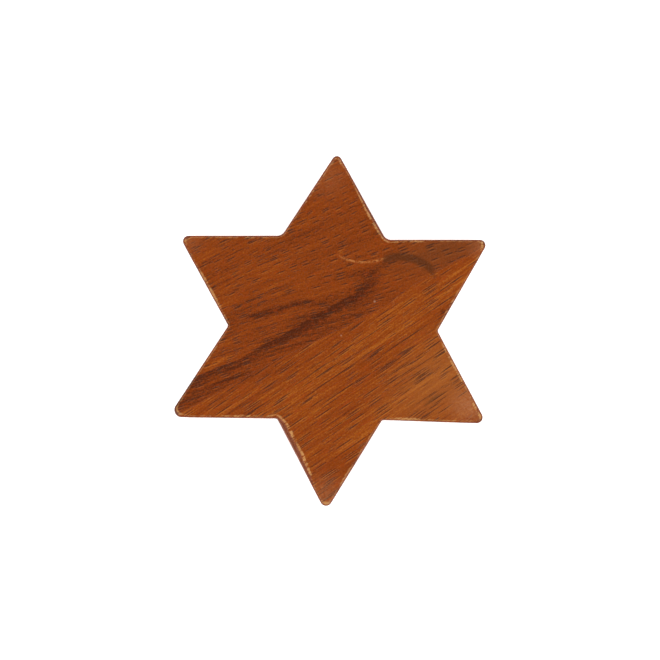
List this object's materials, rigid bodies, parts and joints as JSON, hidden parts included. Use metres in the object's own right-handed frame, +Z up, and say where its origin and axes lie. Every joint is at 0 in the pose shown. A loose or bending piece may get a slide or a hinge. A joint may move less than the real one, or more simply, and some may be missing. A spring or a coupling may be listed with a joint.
{
  "type": "star burr puzzle",
  "caption": "Wooden star puzzle that looks like a solid block: star-shaped boards over interlocking points that slide out only together, on dovetail rails and dowels.",
  "frame": {"origin": "on the axis where all six points meet, in the plane of the underside", "axes": "+Z up through both boards, +Y towards one star point, +X towards an inner corner"},
  "size_m": [0.0884, 0.1002, 0.03],
  "materials": {
    "stained_wood": "satin",
    "rail_wood": "matte",
    "dowel_wood": "matte"
  },
  "bodies": {
    "base": {"bottom_star_board": "stained_wood", "bottom_rail_north": "rail_wood", "bottom_rail_northeast": "rail_wood", "bottom_rail_southeast": "rail_wood", "bottom_rail_south": "rail_wood", "bottom_rail_southwest": "rail_wood", "bottom_rail_northwest": "rail_wood"},
    "cap": {"top_star_board": "stained_wood", "top_rail_north": "rail_wood", "top_rail_northeast": "rail_wood", "top_rail_southeast": "rail_wood", "top_rail_south": "rail_wood", "top_rail_southwest": "rail_wood", "top_rail_northwest": "rail_wood"},
    "point_north_assembly": {"point_north": "stained_wood", "dowel_north": "dowel_wood"},
    "point_northeast_assembly": {"point_northeast": "stained_wood", "dowel_northeast": "dowel_wood"},
    "point_southeast_assembly": {"point_southeast": "stained_wood", "dowel_southeast": "dowel_wood"},
    "point_south_assembly": {"point_south": "stained_wood", "dowel_south": "dowel_wood"},
    "point_southwest_assembly": {"point_southwest": "stained_wood", "dowel_southwest": "dowel_wood"},
    "point_northwest_assembly": {"point_northwest": "stained_wood", "dowel_northwest": "dowel_wood"}
  },
  "joints": [
    {"name": "slide_north", "type": "slide", "parent": "base", "child": "point_north_assembly", "axis": [0, 0.9929, 0.1191], "range_m": [0, 0.02266]},
    {"name": "slide_northeast", "type": "slide", "parent": "base", "child": "point_northeast_assembly", "axis": [0.8599, 0.4964, 0.1191], "range_m": [0, 0.02266]},
    {"name": "slide_southeast", "type": "slide", "parent": "base", "child": "point_southeast_assembly", "axis": [0.8599, -0.4964, 0.1191], "range_m": [0, 0.02266]},
    {"name": "slide_south", "type": "slide", "parent": "base", "child": "point_south_assembly", "axis": [0, -0.9929, 0.1191], "range_m": [0, 0.02266]},
    {"name": "slide_southwest", "type": "slide", "parent": "base", "child": "point_southwest_assembly", "axis": [-0.8599, -0.4964, 0.1191], "range_m": [0, 0.02266]},
    {"name": "slide_northwest", "type": "slide", "parent": "base", "child": "point_northwest_assembly", "axis": [-0.8599, 0.4964, 0.1191], "range_m": [0, 0.02266]},
    {"name": "cap_rise", "type": "slide", "parent": "base", "child": "cap", "axis": [0, 0, 1], "range_m": [0, 0.0054]}
  ],
  "couplings": [
    {"joint": "slide_northeast", "follows": "slide_north", "ratio": 1},
    {"joint": "slide_southeast", "follows": "slide_north", "ratio": 1},
    {"joint": "slide_south", "follows": "slide_north", "ratio": 1},
    {"joint": "slide_southwest", "follows": "slide_north", "ratio": 1},
    {"joint": "slide_northwest", "follows": "slide_north", "ratio": 1},
    {"joint": "cap_rise", "follows": "slide_north", "ratio": 0.23829}
  ]
}
